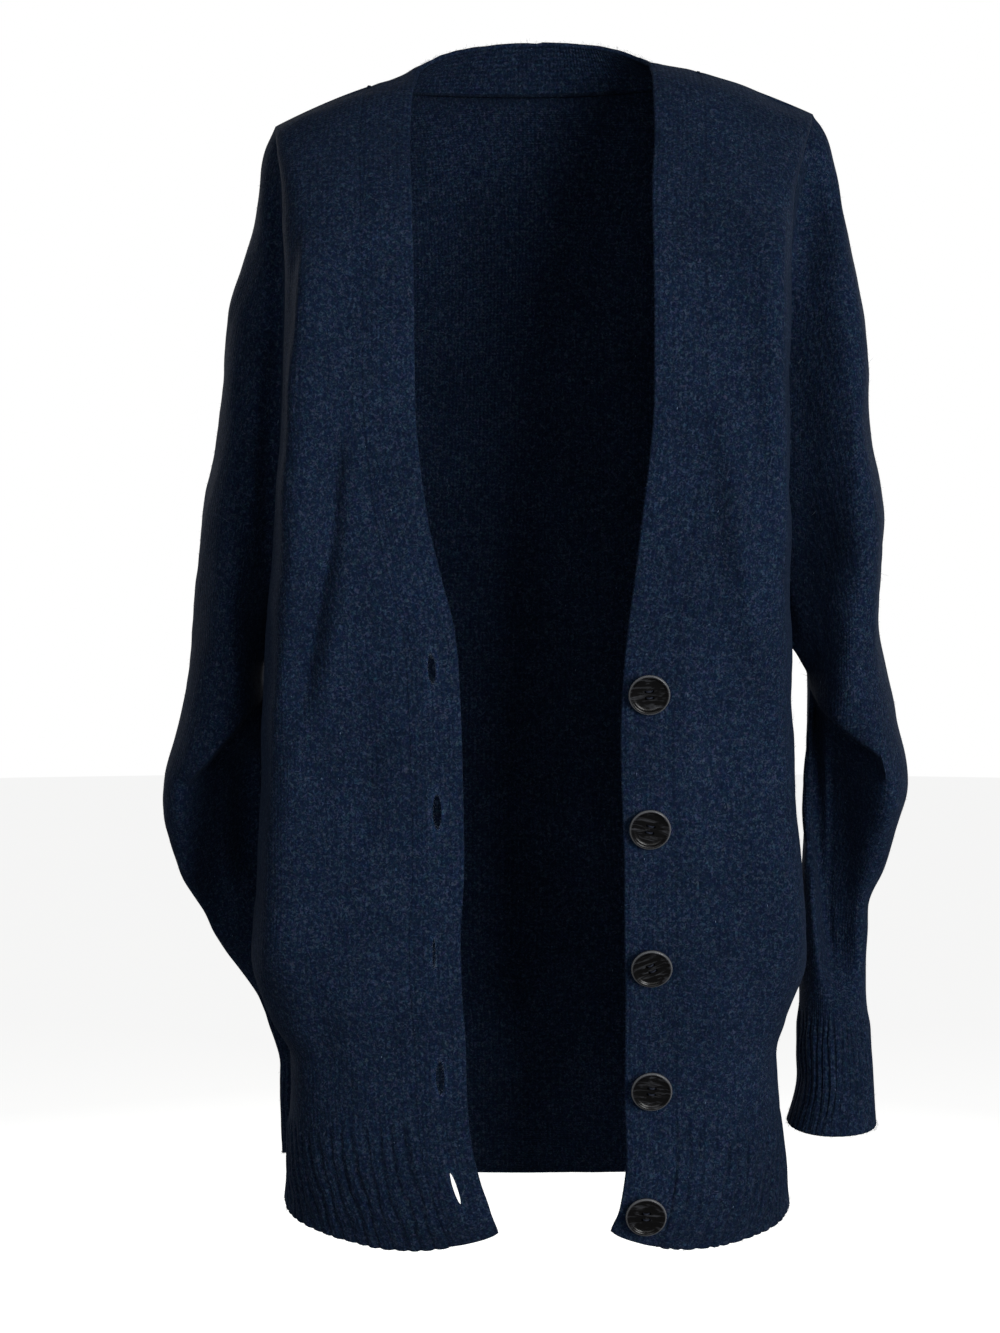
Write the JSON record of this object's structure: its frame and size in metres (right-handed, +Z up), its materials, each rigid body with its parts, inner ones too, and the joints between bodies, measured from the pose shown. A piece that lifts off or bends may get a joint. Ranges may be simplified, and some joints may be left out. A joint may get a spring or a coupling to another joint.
{
  "type": "v-neck cardigan sweater",
  "caption": "Long, oversized V-neck cardigan in felted wool, worn open: deep-set sleeves, ribbed cuffs and hem, a knitted front band, large round buttons and buttonholes.",
  "frame": {"origin": "between the shoulders at the base of the neck, where the wearer's shoulders carry the garment", "axes": "+Z up, +X towards the wearer's left side, -Y towards the front, where the cardigan opens"},
  "size_m": [0.4993, 0.2917, 0.7768],
  "materials": {
    "panel_wool": "matte, brushed and felted",
    "sleeve_wool": "matte, brushed and felted",
    "rib_wool": "matte, brushed and felted",
    "band_wool": "matte, brushed and felted",
    "horn": "polished, horn-like resin"
  },
  "bodies": {
    "root": {"back": "panel_wool", "band_left": "band_wool", "band_right": "band_wool", "button_1": "horn", "button_2": "horn", "button_3": "horn", "button_4": "horn", "button_5": "horn", "cuff_left": "rib_wool", "cuff_right": "rib_wool", "front_left": "panel_wool", "front_right": "panel_wool", "hem_rib_back": "rib_wool", "hem_rib_left": "rib_wool", "hem_rib_right": "rib_wool", "sleeve_left": "sleeve_wool", "sleeve_right": "sleeve_wool"}
  },
  "joints": []
}
